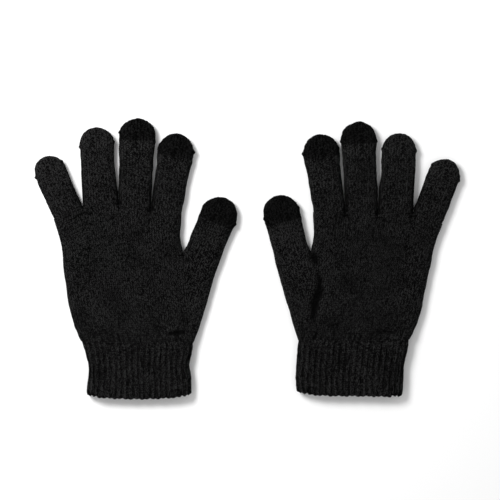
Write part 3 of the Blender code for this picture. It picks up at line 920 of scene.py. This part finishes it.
class Nodes:
    """Short ways to add nodes to a material."""

    def __init__(self, name):
        self.material = bpy.data.materials.new(name)
        self.material.use_nodes = True
        self.tree = self.material.node_tree
        self.shader = self.tree.nodes["Principled BSDF"]

    def link(self, value, socket):
        if isinstance(value, bpy.types.NodeSocket):
            self.tree.links.new(value, socket)
        else:
            socket.default_value = value

    def math(self, operation, a, b=None, c=None):
        node = self.tree.nodes.new("ShaderNodeMath")
        node.operation = operation
        for value, socket in zip((a, b, c), node.inputs):
            if value is not None:
                self.link(value, socket)
        return node.outputs[0]

    def add(self, a, b, weight):
        """a plus b times the weight."""
        return self.math("ADD", a, self.math("MULTIPLY", b, weight))

    def places(self):
        """The stitch coordinates."""
        uv = self.tree.nodes.new("ShaderNodeUVMap")
        uv.uv_map = "knit"
        split = self.tree.nodes.new("ShaderNodeSeparateXYZ")
        self.link(uv.outputs[0], split.inputs[0])
        return split.outputs[0], split.outputs[1]

    def bump(self, height, strength, distance):
        node = self.tree.nodes.new("ShaderNodeBump")
        node.inputs["Strength"].default_value = strength
        node.inputs["Distance"].default_value = distance * MM
        self.link(height, node.inputs["Height"])
        self.link(node.outputs[0], self.shader.inputs["Normal"])

    def noise(self, vector, scale, detail=2.0, rough=0.5):
        node = self.tree.nodes.new("ShaderNodeTexNoise")
        node.inputs["Scale"].default_value = scale
        node.inputs["Detail"].default_value = detail
        node.inputs["Roughness"].default_value = rough
        self.link(vector, node.inputs["Vector"])
        return node.outputs["Fac"]

    def combine(self, x, y, z=0.0):
        node = self.tree.nodes.new("ShaderNodeCombineXYZ")
        for value, socket in zip((x, y, z), node.inputs):
            self.link(value, socket)
        return node.outputs[0]

    def ramp(self, value, low, high, out_low, out_high):
        node = self.tree.nodes.new("ShaderNodeMapRange")
        for v, socket in zip((value, low, high, out_low, out_high), node.inputs):
            self.link(v, socket)
        return node.outputs[0]

    def mix(self, share, a, b):
        node = self.tree.nodes.new("ShaderNodeMix")
        node.data_type = "RGBA"
        self.link(share, node.inputs[0])
        self.link(a, node.inputs[6])
        self.link(b, node.inputs[7])
        return node.outputs[2]


def knit_material(name, dark, light, rough, sheen=0.02):
    """Plain knitting in spun yarn: V-shaped stitches, loose fibres, uneven dye and painted shade in the
    grooves and hollows.
    """
    m = Nodes(name)
    u, v = m.places()
    wobble = m.math("SUBTRACT", m.noise(m.combine(u, v), 0.9, 1.0), 0.5)
    u = m.add(m.math("ADD", u, 0.5), wobble, 0.16)
    side = m.math("ABSOLUTE", m.math("SUBTRACT", m.math("MULTIPLY", m.math("FRACT", u), 2.0), 1.0))
    phase = m.add(v, side, SLANT)
    leg = m.math("SINE", m.math("MULTIPLY", side, math.pi))
    strand = m.math("SINE", m.math("MULTIPLY", m.math("FRACT", phase), math.pi))
    loop = m.math("MULTIPLY", m.math("POWER", leg, 0.6), m.math("POWER", strand, 0.7))
    fibres = m.noise(m.combine(m.math("MULTIPLY", u, 3.0), m.math("MULTIPLY", phase, 9.0)), 1.6, 3.0, 0.65)
    fluff = m.noise(m.combine(u, v), 6.5, 4.0, 0.7)
    # each piece of yarn, a third of a wale wide and half a course high, has a tone of its own
    third, half = m.math("MULTIPLY", u, 3.0), m.math("MULTIPLY", phase, 2.0)
    cell = m.combine(m.math("FLOOR", third), m.math("FLOOR", half))
    white = m.tree.nodes.new("ShaderNodeTexWhiteNoise")
    white.noise_dimensions = "2D"
    m.link(cell, white.inputs["Vector"])
    patch = m.noise(m.combine(m.math("MULTIPLY", u, 0.12), m.math("MULTIPLY", v, 0.16)), 1.0, 2.0)
    speck = m.noise(m.combine(m.math("MULTIPLY", u, 1.7), m.math("MULTIPLY", v, 0.8)), 1.3, 1.0)
    # painted shade at stitch scale: the tone follows the loops' height, lighter on their tops and darker in
    # the grooves between the wales
    tone = m.math("MULTIPLY", loop, 0.85)
    tone = m.add(tone, white.outputs["Value"], 1.5)
    tone = m.math("SUBTRACT", tone, m.math("MULTIPLY", m.math("POWER", side, 4.0), 0.45))
    for part, weight in ((speck, 0.2), (fibres, 0.7), (fluff, 0.9), (patch, 0.3)):
        tone = m.add(tone, m.math("SUBTRACT", part, 0.5), weight)
    tone = m.ramp(tone, 1.02, 1.65, 0.0, 1.0)
    # painted shade: the colour is darkened by the per-point painted shade of hollows, creases, slits, inner
    # walls and falloff
    shade_and_tone_attribute = m.tree.nodes.new("ShaderNodeAttribute")
    shade_and_tone_attribute.attribute_name = "painted_shade_and_tone"
    tone = m.math("MULTIPLY", tone, m.ramp(shade_and_tone_attribute.outputs["Fac"], -1.5, 1.5, 2.12, 0.12))
    m.link(m.mix(tone, (*dark, 1.0), (*light, 1.0)), m.shader.inputs["Base Color"])
    m.link(m.ramp(fibres, 0.3, 0.7, rough - 0.08, min(1.0, rough + 0.06)), m.shader.inputs["Roughness"])
    m.shader.inputs["Sheen Weight"].default_value = sheen
    m.shader.inputs["Sheen Roughness"].default_value = 0.45
    m.shader.inputs["Sheen Tint"].default_value = (0.5, 0.5, 0.5, 1.0)
    m.shader.inputs["Specular IOR Level"].default_value = 0.02
    m.bump(m.add(m.add(loop, fibres, 0.45), fluff, 0.35), 0.9, 0.5)
    return m.material


def thread_material(name, dark, light, rough, twist):
    """Plied thread: strands that wind round it, with a little fluff."""
    m = Nodes(name)
    around, along = m.places()
    ply = m.math("SINE", m.math("MULTIPLY", m.math("FRACT", m.add(along, around, twist)), math.pi))
    fluff = m.noise(m.combine(around, along), 7.0, 3.0, 0.6)
    tone = m.add(m.math("MULTIPLY", ply, 0.6), fluff, 0.5)
    m.link(m.mix(tone, (*dark, 1.0), (*light, 1.0)), m.shader.inputs["Base Color"])
    m.link(m.ramp(fluff, 0.3, 0.7, rough - 0.08, rough + 0.08), m.shader.inputs["Roughness"])
    m.shader.inputs["Specular IOR Level"].default_value = 0.05
    m.bump(m.add(ply, fluff, 0.4), 0.5, 0.15)
    return m.material


# ---------------------------------------------------------------- putting it together

def world_point(glove, x, y, z=FLAT):
    return tuple(to_world(glove, np.array([x, y, z])))


def make_glove(glove, materials):
    knit, tip_knit, elastic, thread = materials
    name = glove["name"]
    hand = f"{name}_hand"
    cuff = make_cuff(glove, knit)
    palm, palm_rings, palm_relief = make_palm(glove, knit)
    core = make_elastic(glove, elastic)
    for obj, node, slot in ((cuff, "cuff", "charcoal_knit"), (palm, "palm", "charcoal_knit"),
                            (core, "elastic_thread", "elastic")):
        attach(obj, hand)
        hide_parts(f"{name}_{node}")
    for fork in ("ring", "middle", "index", "thumb"):
        obj = make_stitch(glove, fork, palm_rings, palm_relief, thread)
        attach(obj, hand)
        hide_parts(f"{name}_stitch_{fork}")
    for k, finger in enumerate(FINGERS):
        sleeve = make_sleeve(glove, finger, knit)
        (x0, y0), (x1, y1) = glove["knuckles"][k:k + 2]
        middle, start = (x0 + x1) / 2, max(y0, y1) + GAP
        world_point(glove, middle, start)
        world_point(glove, middle, start + BLEND_LENGTH)
        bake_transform(sleeve)
        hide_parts(f"{name}_{finger}_sleeve")
    sleeve, rings = make_thumb(glove, knit)
    fork, corner = np.array(glove["fork"]), np.array(glove["thumb_side"][0])
    along = (fork - corner) / np.linalg.norm(fork - corner)
    side = np.array([along[1], -along[0]])
    reach = ((rings[-1][:, :2] - fork) @ side).min() - 0.8
    world_point(glove, *fork)
    world_point(glove, *(fork + side * reach))
    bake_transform(sleeve)
    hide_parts(f"{name}_thumb_sleeve")
    for finger in FINGERS + ("thumb",):
        special = finger in CONDUCTIVE
        tip = make_tip(glove, finger, tip_knit if special else knit)
        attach(tip, f"{name}_{finger}")
        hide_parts(f"{name}_{finger}_tip")


def make_camera():
    distance = 1.6
    view = 0.3725  # width that the camera sees at the gloves' middle height
    data = bpy.data.cameras.new("camera")
    data.sensor_width = 36.0
    data.lens = 36.0 * distance / view
    data.clip_start, data.clip_end = 0.05, 20.0
    camera = add_object("camera", data)
    camera.location = (0.0020, 0.0065, distance + FLAT / 2 * MM)  # looks straight down, as in the photo
    bpy.context.scene.camera = camera


def area_light(name, place, size, power):
    data = bpy.data.lights.new(name, "AREA")
    data.shape = "SQUARE"
    data.size = size
    data.energy = power
    light = add_object(name, data)
    light.location = place
    light.rotation_mode = "QUATERNION"
    light.rotation_quaternion = (-Vector(place)).to_track_quat("-Z", "Y")


def make_studio():
    mesh = bpy.data.meshes.new("floor")
    s, z = 3.0, -0.0001  # half the floor's width, and its level just below the gloves
    mesh.from_pydata([(-s, -s, z), (s, -s, z), (s, s, z), (-s, s, z)], [], [(0, 1, 2, 3)])
    floor = add_object("floor", mesh)
    m = Nodes("pale_floor")
    m.shader.inputs["Base Color"].default_value = (0.9, 0.9, 0.9, 1.0)
    m.shader.inputs["Roughness"].default_value = 0.9
    m.shader.inputs["Specular IOR Level"].default_value = 0.1
    mesh.materials.append(m.material)
    world = bpy.data.worlds.new("studio")
    world.use_nodes = True
    world.node_tree.nodes["Background"].inputs[0].default_value = (1.0, 1.0, 1.0, 1.0)
    world.node_tree.nodes["Background"].inputs[1].default_value = 0.62
    bpy.context.scene.world = world
    area_light("key", (-0.50, 0.42, 0.76), 0.36, 10.0)
    bpy.context.scene.view_settings.view_transform = "Standard"
    bpy.context.scene.view_settings.look = "None"


make_camera()
make_studio()
materials = (
    knit_material("charcoal_yarn", (0.0004, 0.0004, 0.0004), (0.022, 0.022, 0.022), 0.88),
    knit_material("conductive_yarn", (0.0002, 0.0002, 0.0002), (0.0088, 0.0088, 0.0088), 0.85, sheen=0.005),
    thread_material("covered_elastic", (0.012, 0.012, 0.012), (0.03, 0.03, 0.03), 0.6, 2.0),
    thread_material("closing_thread", (0.0002, 0.0002, 0.0002), (0.001, 0.001, 0.001), 0.9, 3.0),
)
for glove in (RIGHT, LEFT):
    make_glove(glove, materials)
